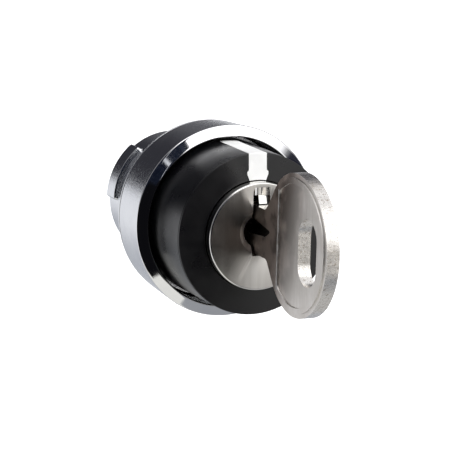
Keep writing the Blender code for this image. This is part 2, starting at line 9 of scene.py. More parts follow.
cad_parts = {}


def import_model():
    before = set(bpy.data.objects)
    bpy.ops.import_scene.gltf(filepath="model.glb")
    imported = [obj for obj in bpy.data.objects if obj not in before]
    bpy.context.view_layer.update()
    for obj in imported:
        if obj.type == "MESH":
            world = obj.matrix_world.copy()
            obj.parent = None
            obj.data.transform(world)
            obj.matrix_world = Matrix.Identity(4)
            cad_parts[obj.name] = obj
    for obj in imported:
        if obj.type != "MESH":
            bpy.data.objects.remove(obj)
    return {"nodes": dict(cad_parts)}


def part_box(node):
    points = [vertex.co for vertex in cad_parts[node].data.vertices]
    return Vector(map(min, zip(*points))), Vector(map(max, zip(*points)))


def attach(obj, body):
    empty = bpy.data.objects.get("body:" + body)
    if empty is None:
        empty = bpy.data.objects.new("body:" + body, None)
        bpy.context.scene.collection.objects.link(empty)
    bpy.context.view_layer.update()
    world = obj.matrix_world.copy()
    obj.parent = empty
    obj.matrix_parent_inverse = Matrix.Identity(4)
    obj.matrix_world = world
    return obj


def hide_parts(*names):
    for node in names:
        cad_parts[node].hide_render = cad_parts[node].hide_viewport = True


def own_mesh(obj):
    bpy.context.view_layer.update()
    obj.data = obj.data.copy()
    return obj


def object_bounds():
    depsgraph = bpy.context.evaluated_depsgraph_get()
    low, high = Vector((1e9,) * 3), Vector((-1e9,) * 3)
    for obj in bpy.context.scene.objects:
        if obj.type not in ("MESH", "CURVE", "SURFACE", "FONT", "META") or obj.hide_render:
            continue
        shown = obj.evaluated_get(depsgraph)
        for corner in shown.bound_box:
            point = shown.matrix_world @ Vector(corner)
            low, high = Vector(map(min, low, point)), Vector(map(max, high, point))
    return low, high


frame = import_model()
cad_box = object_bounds()

MM = 0.001
FINE = 360                          # steps round a large turned piece
MEDIUM = 128
SMALL = 64
SHARP = math.radians(32)            # edges sharper than this keep a crease

# The view
VIEW_AZIMUTH = -22.8                # degrees from the front, negative towards -X
VIEW_ELEVATION = 10.7
VIEW_ROLL = 1.5
VIEW_DISTANCE = 0.300
VIEW_AIM = Vector((2.8 * MM, -1.6 * MM, -2.15 * MM))
LENS_MM = 156.4
SENSOR_MM = 36.0
FLOOR_DROP = 0.045                  # below the object's lowest point
FLOOR_HALF = 3.0
SOFTBOX_SIZE = 0.30
SOFTBOX_AIM = Vector((0.0, -0.01, 0.0))

# Places read from the frame
PANEL_Y = 0.0
CASTING_LOW, CASTING_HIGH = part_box("body_casting")
KNOB_LOW, KNOB_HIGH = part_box("knob_shell")
CAP_LOW, CAP_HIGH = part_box("face_cap")
KEY_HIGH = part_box("key")[1]
CAGE_LOW, CAGE_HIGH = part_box("rear_cage")
GASKET_LOW, GASKET_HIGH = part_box("panel_gasket")
PLUNGER_LOW, PLUNGER_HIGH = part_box("plunger_right")
BEZEL_R = CASTING_HIGH.x
KNOB_R = KNOB_HIGH.x
CAP_R = CAP_HIGH.x
CAP_FACE_Y = CAP_LOW.y
KNOB_FACE_Y = KNOB_LOW.y
KNOB_BASE_Y = KNOB_HIGH.y
BARREL_END_Y = CASTING_HIGH.y
KEY_HALF = KEY_HIGH.x
STATOR_FRONT_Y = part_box("lock_stator")[0].y


# ------------------------------------------------------------------ node helpers

class Graph:
    """Short names for building one material's or the world's node tree."""

    def __init__(self, tree):
        self.tree = tree

    def node(self, kind, **settings):
        item = self.tree.nodes.new(kind)
        for key, value in settings.items():
            setattr(item, key, value)
        return item

    def put(self, value, socket):
        if isinstance(value, bpy.types.NodeSocket):
            self.tree.links.new(value, socket)
        else:
            socket.default_value = value

    def math(self, operation, a, b=0.0):
        item = self.node("ShaderNodeMath", operation=operation)
        self.put(a, item.inputs[0])
        self.put(b, item.inputs[1])
        return item.outputs[0]

    def ramp(self, value, low, high, out_low=0.0, out_high=1.0):
        """Smooth step from out_low to out_high while value goes from low to high."""
        item = self.node("ShaderNodeMapRange", interpolation_type="SMOOTHSTEP")
        self.put(value, item.inputs["Value"])
        for name, number in (("From Min", low), ("From Max", high),
                             ("To Min", out_low), ("To Max", out_high)):
            item.inputs[name].default_value = number
        return item.outputs["Result"]

    def mix(self, share, a, b):
        item = self.node("ShaderNodeMix", data_type="RGBA")
        self.put(share, item.inputs[0])
        self.put(a, item.inputs[6])
        self.put(b, item.inputs[7])
        return item.outputs[2]

    def axes(self, vector):
        """A vector's x, y and z."""
        item = self.node("ShaderNodeSeparateXYZ")
        self.put(vector, item.inputs[0])
        return item.outputs

    def place(self, scale=(1.0, 1.0, 1.0)):
        """The piece's own coordinates in metres, stretched."""
        source = self.node("ShaderNodeTexCoord").outputs["Object"]
        item = self.node("ShaderNodeMapping")
        item.inputs["Scale"].default_value = scale
        self.put(source, item.inputs["Vector"])
        return item.outputs["Vector"]

    def noise(self, vector, scale, detail=2.0, rough=0.5):
        item = self.node("ShaderNodeTexNoise")
        self.put(vector, item.inputs["Vector"])
        item.inputs["Scale"].default_value = scale
        item.inputs["Detail"].default_value = detail
        item.inputs["Roughness"].default_value = rough
        return item.outputs["Fac"]

    def bump(self, height, strength, distance, normal=None):
        item = self.node("ShaderNodeBump")
        self.put(height, item.inputs["Height"])
        item.inputs["Strength"].default_value = strength
        item.inputs["Distance"].default_value = distance
        if normal is not None:
            self.put(normal, item.inputs["Normal"])
        return item.outputs["Normal"]


def new_material(name, colour, roughness, metallic=0.0):
    """A Principled material and its graph, ready for detail nodes."""
    material = bpy.data.materials.new(name)
    material.use_nodes = True
    graph = Graph(material.node_tree)
    shader = material.node_tree.nodes["Principled BSDF"]
    shader.inputs["Base Color"].default_value = (*colour, 1.0)
    shader.inputs["Roughness"].default_value = roughness
    shader.inputs["Metallic"].default_value = metallic
    return material, graph, shader


def vary(graph, shader, vector, scale, colours, roughness):
    """Blend two colours and two roughness values by one noise."""
    noise = graph.noise(vector, scale, 3.0)
    share = graph.ramp(noise, 0.35, 0.65)
    graph.put(graph.mix(share, (*colours[0], 1.0), (*colours[1], 1.0)),
              shader.inputs["Base Color"])
    graph.put(graph.ramp(noise, 0.3, 0.7, *roughness), shader.inputs["Roughness"])


def brush_round(graph, shader, amount):
    """Stretch highlights across brush marks that run round the Y axis."""
    shader.inputs["Anisotropic"].default_value = amount
    shader.inputs["Anisotropic Rotation"].default_value = 0.25
    around = graph.node("ShaderNodeTangent", direction_type="RADIAL", axis="Y")
    graph.put(around.outputs[0], shader.inputs["Tangent"])


# ------------------------------------------------------------------ materials

def chrome_satin():
    """Plated die casting, lightly blasted: fine grain that breaks up what it mirrors."""
    material, graph, shader = new_material("chrome_satin", (0.80, 0.81, 0.83), 0.2, 1.0)
    vector = graph.place()
    vary(graph, shader, vector, 260.0, ((0.77, 0.78, 0.81), (0.83, 0.84, 0.86)), (0.13, 0.20))
    grain = graph.noise(vector, 5200.0, 2.0, 0.6)
    coarse = graph.noise(vector, 2500.0, 2.0, 0.5)
    first = graph.bump(coarse, 0.16, 0.08 * MM)
    graph.put(graph.bump(grain, 0.40, 0.05 * MM, first), shader.inputs["Normal"])
    return material


def chrome_polished():
    """The bezel's mirror-bright front ring, with the slightest waviness of plating."""
    material, graph, shader = new_material("chrome_polished", (0.90, 0.90, 0.92), 0.05, 1.0)
    vector = graph.place()
    vary(graph, shader, vector, 300.0, ((0.88, 0.88, 0.90), (0.93, 0.93, 0.94)), (0.03, 0.07))
    ripple = graph.noise(vector, 1400.0, 3.0, 0.7)
    graph.put(graph.bump(ripple, 0.035, 0.05 * MM), shader.inputs["Normal"])
    return material


def black_plastic(name="black_satin_plastic", roughness=(0.27, 0.33)):
    """Moulded thermoplastic with a soft satin skin."""
    material, graph, shader = new_material(name, (0.006, 0.006, 0.007), 0.35)
    vector = graph.place()
    vary(graph, shader, vector, 400.0, ((0.002, 0.002, 0.003), (0.004, 0.004, 0.005)), roughness)
    shader.inputs["Specular IOR Level"].default_value = 0.7
    grain = graph.noise(vector, 9000.0, 2.0, 0.6)
    graph.put(graph.bump(grain, 0.10, 0.03 * MM), shader.inputs["Normal"])
    return material


def white_plastic():
    """The marker's slightly chalky moulding."""
    material, graph, shader = new_material("white_marker_plastic", (0.9, 0.9, 0.9), 0.4)
    vector = graph.place()
    vary(graph, shader, vector, 500.0, ((0.88, 0.88, 0.87), (0.93, 0.93, 0.92)), (0.34, 0.44))
    grain = graph.noise(vector, 7000.0, 2.0)
    graph.put(graph.bump(grain, 0.06, 0.03 * MM), shader.inputs["Normal"])
    return material


def natural_plastic(name, colours):
    """Unpainted engineering plastic in the given pair of colours."""
    material, graph, shader = new_material(name, colours[0], 0.45)
    vector = graph.place()
    vary(graph, shader, vector, 350.0, colours, (0.40, 0.52))
    grain = graph.noise(vector, 6000.0, 2.0)
    graph.put(graph.bump(grain, 0.08, 0.03 * MM), shader.inputs["Normal"])
    return material


def brushed_steel():
    """Lock face: turned in fine circles, so light fans out from the middle in wedges."""
    material, graph, shader = new_material("brushed_steel_face", (0.62, 0.60, 0.57), 0.36, 1.0)
    streaks = graph.noise(graph.place((1.0, 1.0, 0.06)), 1500.0, 4.0, 0.6)
    broad = graph.noise(graph.place((1.0, 1.0, 0.3)), 240.0, 2.0)
    share = graph.math("MULTIPLY", graph.ramp(streaks, 0.2, 0.8), graph.ramp(broad, 0.2, 0.8))
    graph.put(graph.mix(share, (0.58, 0.56, 0.53, 1.0), (0.70, 0.68, 0.65, 1.0)),
              shader.inputs["Base Color"])
    graph.put(graph.ramp(streaks, 0.3, 0.7, 0.30, 0.38), shader.inputs["Roughness"])
    graph.put(graph.bump(streaks, 0.05, 0.03 * MM), shader.inputs["Normal"])
    brush_round(graph, shader, 0.85)
    return material


def bright_steel():
    """Polished edges of the lock face."""
    material, graph, shader = new_material("bright_steel_edge", (0.86, 0.85, 0.82), 0.12, 1.0)
    vector = graph.place()
    vary(graph, shader, vector, 500.0, ((0.80, 0.79, 0.76), (0.92, 0.91, 0.88)), (0.08, 0.18))
    return material


def countersink_steel():
    """The countersink round the slot, left by a coarse cutter."""
    material, graph, shader = new_material("countersink_steel", (0.9, 0.87, 0.83), 0.45, 1.0)
    vector = graph.place()
    vary(graph, shader, vector, 800.0, ((0.82, 0.78, 0.74), (0.95, 0.93, 0.89)), (0.40, 0.52))
    return material


def slot_wall():
    """Brass walls of the key slot, painted dark brown for the shade deep inside the slot."""
    material, graph, shader = new_material("slot_wall_brass_shaded", (0.10, 0.07, 0.04), 0.5, 1.0)
    vector = graph.place()
    # Painted shade: very dark brown colours stand for the slot's shaded walls.
    vary(graph, shader, vector, 700.0, ((0.05, 0.035, 0.02), (0.16, 0.11, 0.07)), (0.4, 0.6))
    return material


def key_face():
    """Nickel silver brushed along its width, tarnished brown towards the lock, with painted shade
    in the same brown towards the lock and upwards, where the knob shades the neck.
    """
    material, graph, shader = new_material("key_nickel_face", (0.75, 0.72, 0.68), 0.4, 1.0)
    noise = graph.noise(graph.place((1.0, 1.0, 0.08)), 2200.0, 4.0, 0.6)
    patches = graph.noise(graph.place(), 260.0, 3.0)
    share = graph.math("MULTIPLY", graph.ramp(noise, 0.2, 0.8), graph.ramp(patches, 0.2, 0.8))
    clean_unshaded = graph.mix(share, (0.70, 0.66, 0.61, 1.0), (0.92, 0.89, 0.85, 1.0))
    _, along, up = graph.axes(graph.place())
    lean = graph.math("ADD", along, graph.math("MULTIPLY", up, 0.35))
    # Painted shade mixed with real tarnish: the brown takes over towards the lock and upwards.
    shade_and_tarnish_share = graph.ramp(lean, -38.0 * MM, -27.0 * MM)
    tarnish_and_shade = graph.mix(graph.ramp(patches, 0.42, 0.62), (0.15, 0.12, 0.105, 1.0),
                        (0.38, 0.31, 0.27, 1.0))
    graph.put(graph.mix(shade_and_tarnish_share, clean_unshaded, tarnish_and_shade), shader.inputs["Base Color"])
    graph.put(graph.ramp(noise, 0.3, 0.7, 0.34, 0.42), shader.inputs["Roughness"])
    brush_round(graph, shader, 0.6)
    scratches = graph.noise(graph.place((1.0, 0.15, 1.6)), 3200.0, 2.0, 0.7)
    first = graph.bump(noise, 0.05, 0.04 * MM)
    graph.put(graph.bump(scratches, 0.06, 0.03 * MM, first), shader.inputs["Normal"])
    return material


def key_rim():
    """The sheared rim: torn metal texture, brighter where keys and hands have rubbed."""
    material, graph, shader = new_material("key_nickel_rim", (0.7, 0.66, 0.6), 0.35, 1.0)
    torn = graph.noise(graph.place((0.35, 1.0, 1.0)), 1500.0, 5.0, 0.75)
    speckle = graph.noise(graph.place(), 3200.0, 2.0, 0.6)
    wear = graph.noise(graph.place(), 220.0, 3.0)
    share = graph.math("MULTIPLY", graph.ramp(wear, 0.1, 0.5), graph.ramp(speckle, 0.30, 0.48))
    graph.put(graph.mix(share, (0.56, 0.51, 0.455, 1.0), (0.88, 0.855, 0.82, 1.0)),
              shader.inputs["Base Color"])
    graph.put(graph.ramp(torn, 0.3, 0.7, 0.16, 0.34), shader.inputs["Roughness"])
    graph.put(graph.bump(torn, 0.35, 0.10 * MM), shader.inputs["Normal"])
    return material


def key_edge():
    """Edges and raised lines of the key, rubbed bright."""
    material, graph, shader = new_material("key_nickel_edge", (0.9, 0.88, 0.84), 0.25, 1.0)
    vector = graph.place()
    vary(graph, shader, vector, 900.0, ((0.84, 0.81, 0.77), (0.97, 0.95, 0.92)), (0.38, 0.50))
    return material


def key_groove():
    """The milled groove, painted black for the shadow that fills it."""
    material, graph, shader = new_material("key_groove_painted_shadow", (0.02, 0.02, 0.02), 0.4, 1.0)
    vector = graph.place()
    # Painted shadow: near-black colours for the shaded groove.
    vary(graph, shader, vector, 900.0, ((0.010, 0.009, 0.009), (0.040, 0.034, 0.030)), (0.3, 0.5))
    return material


def machined_brass():
    """Turned brass, with painted shade: near black over the first millimetre at the mouth of the
    lock, deep in the keyway.
    """
    material, graph, shader = new_material("machined_brass", (0.72, 0.55, 0.28), 0.3, 1.0)
    turning = graph.noise(graph.place((0.2, 1.0, 0.2)), 4000.0, 3.0)
    cloud = graph.ramp(graph.noise(graph.place(), 350.0, 3.0), 0.35, 0.65)
    clean_unshaded = graph.mix(cloud, (0.66, 0.49, 0.24, 1.0), (0.78, 0.61, 0.34, 1.0))
    depth = graph.axes(graph.place())[1]
    # Painted shade: the brass goes near black at its front, where it sits deep in the keyway.
    painted_shade_at_mouth = graph.ramp(depth, STATOR_FRONT_Y, STATOR_FRONT_Y + MM, 1.0, 0.0)
    graph.put(graph.mix(painted_shade_at_mouth, clean_unshaded, (0.030, 0.024, 0.018, 1.0)), shader.inputs["Base Color"])
    graph.put(graph.ramp(turning, 0.3, 0.7, 0.24, 0.38), shader.inputs["Roughness"])
    graph.put(graph.bump(turning, 0.2, 0.03 * MM), shader.inputs["Normal"])
    return material


def drawn_steel(name, colours, roughness):
    """Steel wire or plate with fine drawing lines."""
    material, graph, shader = new_material(name, colours[0], roughness[0], 1.0)
    vector = graph.place()
    vary(graph, shader, vector, 800.0, colours, roughness)
    drawing = graph.noise(graph.place((1.0, 0.3, 1.0)), 5000.0, 3.0)
    graph.put(graph.bump(drawing, 0.12, 0.02 * MM), shader.inputs["Normal"])
    return material


def seal_rubber():
    """Matt black sealing rubber."""
    material, graph, shader = new_material("seal_rubber", (0.03, 0.03, 0.03), 0.75)
    vector = graph.place()
    vary(graph, shader, vector, 600.0, ((0.020, 0.020, 0.021), (0.040, 0.040, 0.042)), (0.65, 0.85))
    grain = graph.noise(vector, 6000.0, 3.0)
    graph.put(graph.bump(grain, 0.25, 0.04 * MM), shader.inputs["Normal"])
    return material


def studio_floor():
    """Plain pale paper, bright enough to read as white."""
    material, graph, shader = new_material("studio_floor", (0.9, 0.9, 0.9), 0.9)
    vector = graph.place()
    vary(graph, shader, vector, 30.0, ((0.90, 0.90, 0.90), (0.92, 0.92, 0.92)), (0.85, 0.95))
    shader.inputs["Emission Color"].default_value = (1.0, 1.0, 1.0, 1.0)
    shader.inputs["Emission Strength"].default_value = 0.75
    shader.inputs["Specular IOR Level"].default_value = 0.1
    return material


# ------------------------------------------------------------------ shape helpers

def link(item):
    bpy.context.scene.collection.objects.link(item)
    return item


def crease(mesh):
    """Shade smooth, except over sharp edges."""
    mesh.shade_smooth()
    mesh.set_sharp_from_angle(angle=SHARP)


def to_object(name, shape, *materials):
    bmesh.ops.recalc_face_normals(shape, faces=shape.faces)
    mesh = bpy.data.meshes.new(name)
    shape.to_mesh(mesh)
    shape.free()
    crease(mesh)
    for material in materials:
        mesh.materials.append(material)
    return link(bpy.data.objects.new(name, mesh))


def fillet(corners, steps=4):
    """Round the corners of a closed outline given as (a, b, radius) triples."""
    points = []
    for index, (a, b, radius) in enumerate(corners):
        here = Vector((a, b))
        if radius == 0.0:
            points.append(here)
            continue
        before = Vector(corners[index - 1][:2]) - here
        after = Vector(corners[(index + 1) % len(corners)][:2]) - here
        reach = min(radius / math.tan(before.angle(after) / 2),
                    0.48 * before.length, 0.48 * after.length)
        start = here + before.normalized() * reach
        end = here + after.normalized() * reach
        for k in range(steps + 1):
            t = k / steps
            points.append((1 - t) ** 2 * start + 2 * t * (1 - t) * here + t * t * end)
    return [(p[0], p[1]) for p in points]


def swept(name, section_at, steps, *materials, face_slot=None, centre=(0.0, 0.0)):
    """Sweep a closed (radius, y) section round Y. face_slot gets the two ends of a section's
    edge and picks the material of the face that the edge sweeps."""
    shape = bmesh.new()
    rows = []
    for index in range(steps):
        angle = math.tau * index / steps
        across, up = math.cos(angle), math.sin(angle)
        rows.append([shape.verts.new((centre[0] + r * across, y, centre[1] + r * up))
                     for r, y in section_at(math.degrees(angle))])
    size = len(rows[0])
    for index, here in enumerate(rows):
        there = rows[(index + 1) % steps]
        for k in range(size):
            face = shape.faces.new((here[k], here[(k + 1) % size],
                                    there[(k + 1) % size], there[k]))
            if face_slot:
                face.material_index = face_slot(here[k].co, here[(k + 1) % size].co)
    bmesh.ops.remove_doubles(shape, verts=shape.verts, dist=1e-7)
    return to_object(name, shape, *materials)


def turned(name, corners, steps, *materials, centre=(0.0, 0.0), rounding=4):
    """Turn one closed outline of (radius, y, rounding radius) corners round Y."""
    outline = fillet(corners, rounding)
    return swept(name, lambda angle: outline, steps, *materials, centre=centre)


def prism(name, outline, along, low, high, *materials):
    """Extrude an outline along X (outline in y, z) or along Y (outline in x, z)."""
    shape = bmesh.new()
    if along == "X":
        points = [shape.verts.new((low, a, b)) for a, b in outline]
        step = (high - low, 0.0, 0.0)
    else:
        points = [shape.verts.new((a, low, b)) for a, b in outline]
        step = (0.0, high - low, 0.0)
    moved = bmesh.ops.extrude_face_region(shape, geom=[shape.faces.new(points)])["geom"]
    far = [part for part in moved if isinstance(part, bmesh.types.BMVert)]
    bmesh.ops.translate(shape, verts=far, vec=step)
    return to_object(name, shape, *materials)


def box(name, x, y, z):
    return prism(name, [(x[0], z[0]), (x[1], z[0]), (x[1], z[1]), (x[0], z[1])], "Y", *y)


def apply_all(item):
    """Make the modifiers' result the mesh itself."""
    graph = bpy.context.evaluated_depsgraph_get()
    mesh = bpy.data.meshes.new_from_object(item.evaluated_get(graph))
    item.modifiers.clear()
    item.data = mesh


def combine(item, tool, operation="DIFFERENCE"):
    """Cut, join or clip item with tool, and use the tool up."""
    step = item.modifiers.new("combine", "BOOLEAN")
    step.operation = operation
    step.solver = "EXACT"
    step.object = tool
    apply_all(item)
    bpy.data.objects.remove(tool)


def soften(item, width):
    """Round the sharp edges a little, and shade the rest smooth."""
    step = item.modifiers.new("soften", "BEVEL")
    step.width = width
    step.segments = 2
    step.limit_method = "ANGLE"
    step.angle_limit = math.radians(40.0)
    step.use_clamp_overlap = True
    step.miter_outer = "MITER_ARC"
    apply_all(item)
    crease(item.data)


def show(piece, body, slot, *nodes):
    """Let a finished piece ride on its body and stand for its CAD nodes."""
    step = piece.modifiers.new("flats_stay_flat", "WEIGHTED_NORMAL")
    step.keep_sharp = True
    apply_all(piece)
    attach(piece, body)
    if nodes:
        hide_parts(*nodes)


# ------------------------------------------------------------------ casting

PAD_RISE = 0.70 * MM
PAD_SPAN = (128.4, 179.0)           # degrees round Y, and its mirror image
PAD_Y = (10.2 * MM, 13.9 * MM)
PAD_CORNER = 0.45 * MM
PAD_EDGE = 0.30 * MM
BARREL_R = 10.35 * MM
BARREL_STEPS = 48
BORE_R = 9.1 * MM
CAVITY_R = 12.75 * MM
CAVITY_FLOOR_Y = -3.4 * MM
LEDGE_R = 7.9 * MM
LEDGE_Y = (1.3 * MM, 2.8 * MM)
CLIP_GROOVE_R = 9.6 * MM
CLIP_GROOVE_Y = (12.3 * MM, 13.1 * MM)
GASKET_INNER_R = 10.7 * MM
RING_INNER_R = 12.91 * MM           # the bezel's bright front ring, a shallow cone
RING_DEPTH = 0.57 * MM


def pad_rise(angle, y):
    """How far the guide pad stands proud of the barrel here."""
    turn = angle if angle <= 180.0 else angle - 360.0
    turn = turn if turn > 90.0 else 180.0 - turn
    middle = math.radians((PAD_SPAN[0] + PAD_SPAN[1]) / 2)
    half_width = math.radians(PAD_SPAN[1] - PAD_SPAN[0]) / 2 * BARREL_R
    half_length = (PAD_Y[1] - PAD_Y[0]) / 2
    across = abs(math.radians(turn) - middle) * BARREL_R - (half_width - PAD_CORNER)
    along = abs(y - PAD_Y[0] - half_length) - (half_length - PAD_CORNER)
    outside = math.hypot(max(across, 0.0), max(along, 0.0)) + min(max(across, along), 0.0)
    inside = max(0.0, min(1.0, (PAD_CORNER - outside) / PAD_EDGE))
    return PAD_RISE * inside * (2 - inside)


def between(a, b, share):
    """The point this share of the way from a to b."""
    return a[0] + (b[0] - a[0]) * share, a[1] + (b[1] - a[1]) * share


def casting_section():
    """Half section of bezel and barrel, with rows along the barrel for the pads to rise on."""
    groove = GASKET_HIGH.x + 0.3 * MM
    floor = GASKET_LOW.y - 0.3 * MM
    front = CASTING_LOW.y
    bead = BEZEL_R - 0.42 * MM
    ring_outer, ring_inner = (BEZEL_R, front + RING_DEPTH), (RING_INNER_R, front)
    start = BARREL_END_Y - 0.25 * MM
    barrel = [(BARREL_R, start + (PAD_Y[0] - 0.2 * MM - start) * k / BARREL_STEPS, 0.0)
              for k in range(BARREL_STEPS + 1)]
    return [
        (BARREL_R, floor, 0.2 * MM), (groove, floor, 0.1 * MM),
        (groove, PANEL_Y, 0.12 * MM), (bead, PANEL_Y, 0.22 * MM),
        (bead + 0.04 * MM, PANEL_Y - 0.46 * MM, 0.10 * MM),
        (bead - 0.28 * MM, PANEL_Y - 0.54 * MM, 0.0),
        (bead - 0.26 * MM, PANEL_Y - 0.66 * MM, 0.0),
        (bead + 0.06 * MM, PANEL_Y - 0.74 * MM, 0.06 * MM),
        (*ring_outer, 0.18 * MM), (*between(ring_outer, ring_inner, 0.17), 0.0),
        (*between(ring_outer, ring_inner, 0.83), 0.0), (*ring_inner, 0.10 * MM),
        (CAVITY_R, front + 0.3 * MM, 0.1 * MM), (CAVITY_R, CAVITY_FLOOR_Y, 0.3 * MM),
        (BORE_R, CAVITY_FLOOR_Y, 0.2 * MM), (BORE_R, LEDGE_Y[0], 0.0),
        (LEDGE_R, LEDGE_Y[0], 0.1 * MM), (LEDGE_R, LEDGE_Y[1], 0.1 * MM),
        (BORE_R, LEDGE_Y[1], 0.0), (BORE_R, CLIP_GROOVE_Y[0], 0.0),
        (CLIP_GROOVE_R, CLIP_GROOVE_Y[0], 0.0), (CLIP_GROOVE_R, CLIP_GROOVE_Y[1], 0.0),
        (BORE_R, CLIP_GROOVE_Y[1], 0.0), (BORE_R, BARREL_END_Y, 0.15 * MM),
        (BARREL_R - 0.02 * MM, BARREL_END_Y, 0.2 * MM),
        *barrel,
    ]


def bezel_and_barrel():
    """The casting in one sweep, satin all over but for its polished front ring."""
    outline = fillet(casting_section())
    ring_rear_y = CASTING_LOW.y + 0.68 * MM

    def section_at(angle):
        return [(r + pad_rise(angle, y), y) if abs(r - BARREL_R) < MM / 100 and y > MM else (r, y)
                for r, y in outline]

    def slot_of(a, b):
        middle = (a + b) / 2
        radius = math.hypot(middle.x, middle.z)
        return 1 if middle.y < ring_rear_y and radius > CAVITY_R + 0.1 * MM else 0

    item = swept("bezel_and_barrel", section_at, FINE, chrome_satin(), chrome_polished(),
                 face_slot=slot_of)
    show(item, "housing", "chrome_casting", "body_casting")


def gasket():
    """Rubber ring let into the bezel's foot, with two ribs towards the panel."""
    inner, outer, low = GASKET_INNER_R, GASKET_HIGH.x, GASKET_LOW.y
    item = turned("bezel_gasket", [
        (inner, low, 0.1 * MM), (outer, low, 0.1 * MM), (outer, -0.12 * MM, 0.1 * MM),
        (12.6 * MM, PANEL_Y, 0.2 * MM), (12.1 * MM, -0.18 * MM, 0.1 * MM),
        (11.6 * MM, -0.18 * MM, 0.1 * MM), (11.1 * MM, PANEL_Y, 0.2 * MM),
        (inner, -0.12 * MM, 0.1 * MM),
    ], MEDIUM, seal_rubber())
    show(item, "housing", "rubber_seal", "panel_gasket")


# ------------------------------------------------------------------ knob and pointer

POINTER_HALF = 1.4 * MM
POINTER_PAD_HALF = 1.65 * MM
POINTER_DEPTH = 0.65 * MM
POINTER_LOW_Z = 7.9 * MM
POINTER_END_Y = -8.6 * MM
KNOB_FRONT_R = 11.93 * MM
KNOB_RECESS_R = CAP_R + 0.12 * MM
KNOB_CROWN = 0.30 * MM              # how far the face falls back towards its edge
KNOB_WALL = 1.2 * MM
KNOB_BORE_R = 7.9 * MM
KNOB_WEB_Y = -15.6 * MM             # rear of the web between knob's rim and its inner sleeve
KNOB_STEP_Y = -17.6 * MM            # floor of the recess that takes the lock face
SEAM = 0.12 * MM                    # fine groove behind the knob's front edge


def pointer_block(name, grow, *materials):
    """The marker as one block, before it is cut to the knob's shape: grow widens it all round."""
    half, pad, low = POINTER_HALF + grow, POINTER_PAD_HALF + grow, POINTER_LOW_Z - grow
    side = [(half, KNOB_R, 0.0), (half, low + 1.55 * MM, 0.12 * MM),
            (pad, low + 1.35 * MM, 0.15 * MM), (pad, low + 0.95 * MM, 0.25 * MM),
            (pad - 0.4 * MM, low, 0.2 * MM)]
    face = fillet([(-x, z, radius) for x, z, radius in side] + side[::-1])
    front = KNOB_FACE_Y - 0.03 * MM - 4 * grow
    item = prism(name, face, "Y", front, KNOB_FACE_Y + POINTER_DEPTH + grow, *materials)
    strip = box("strip", (-half, half), (front + 0.1 * MM, POINTER_END_Y + grow),
                (KNOB_FRONT_R - POINTER_DEPTH - grow, KNOB_R + 4 * grow))
    combine(item, strip, "UNION")
    return item


def knob():
    """Thin-walled cup with a sleeve round the lock, cut out where the marker sits."""
    recess, bore = KNOB_RECESS_R, KNOB_BORE_R
    inside, sleeve = KNOB_R - KNOB_WALL, KNOB_BORE_R + KNOB_WALL
    edge_y = KNOB_FACE_Y + KNOB_CROWN
    seam_y = edge_y + 0.3 * MM
    seam_r = KNOB_FRONT_R - SEAM
    item = turned("knob_body", [
        (recess, KNOB_FACE_Y, 0.06 * MM), (KNOB_FRONT_R, edge_y, 0.2 * MM),
        (KNOB_FRONT_R, seam_y, 0.0), (seam_r, seam_y + SEAM / 3, 0.0),
        (seam_r, seam_y + SEAM, 0.0), (KNOB_FRONT_R, seam_y + 1.3 * SEAM, 0.05 * MM),
        (KNOB_R, KNOB_BASE_Y, 0.2 * MM), (inside, KNOB_BASE_Y, 0.2 * MM),
        (inside, KNOB_WEB_Y, 0.4 * MM), (sleeve, KNOB_WEB_Y, 0.4 * MM),
        (sleeve, KNOB_BASE_Y, 0.2 * MM), (bore, KNOB_BASE_Y, 0.2 * MM),
        (bore, KNOB_STEP_Y, 0.0), (recess, KNOB_STEP_Y, 0.0),
    ], FINE, black_plastic())
    combine(item, pointer_block("slot", 0.05 * MM))
    crease(item.data)
    show(item, "selector", "black_plastic", "knob_shell")


def pointer():
    """The marker, trimmed to lie a hair above the knob's face and side."""
    item = pointer_block("pointer_mark", 0.0, white_plastic())
    grow = 0.03 * MM
    hull = turned("hull", [
        (KNOB_RECESS_R, KNOB_FACE_Y - grow, 0.0),
        (KNOB_FRONT_R + grow, KNOB_FACE_Y + KNOB_CROWN - grow, 0.2 * MM),
        (KNOB_R + grow, KNOB_BASE_Y, 0.0), (KNOB_RECESS_R, KNOB_BASE_Y, 0.0)], FINE)
    combine(item, hull, "INTERSECT")
    crease(item.data)
    show(item, "selector", "white_plastic", "pointer_insert")


# ------------------------------------------------------------------ lock face

DIMPLE_Z = 0.7 * MM
DIMPLE_R = 3.24 * MM
DIMPLE_HOLE_R = 2.35 * MM
DIMPLE_DEPTH = 0.5 * MM
SLOT_HALF = 1.3 * MM
SLOT_Z = (-2.8 * MM, 6.05 * MM)
TROUGH_TOP_Z = 7.2 * MM             # a shallow round trough above the slot
TROUGH_SAG = 0.45 * MM
CAP_INNER_R = 7.2 * MM
DISC_REAR_Y = CAP_FACE_Y + 1.65 * MM


def cut_countersink(item):
    """Sink a round-cornered cone round the keyway, and open its floor."""
    front, depth = CAP_FACE_Y - DIMPLE_DEPTH, CAP_FACE_Y + DIMPLE_DEPTH
    cone = turned("cone", [
        (0.0, front, 0.0), (2 * DIMPLE_R - DIMPLE_HOLE_R, front, 0.0),
        (DIMPLE_HOLE_R, depth, 0.5 * MM), (DIMPLE_HOLE_R, DISC_REAR_Y + MM, 0.0),
        (0.0, DISC_REAR_Y + MM, 0.0)], MEDIUM, centre=(0.0, DIMPLE_Z))
    combine(item, cone)


def cut_slot(item):
    outline = fillet([
        (-SLOT_HALF, SLOT_Z[0], 0.2 * MM), (SLOT_HALF, SLOT_Z[0], 0.2 * MM),
        (SLOT_HALF, SLOT_Z[1], 0.0), (-SLOT_HALF, SLOT_Z[1], 0.0)])
    combine(item, prism("slot", outline, "Y", CAP_FACE_Y - MM, DISC_REAR_Y + MM))


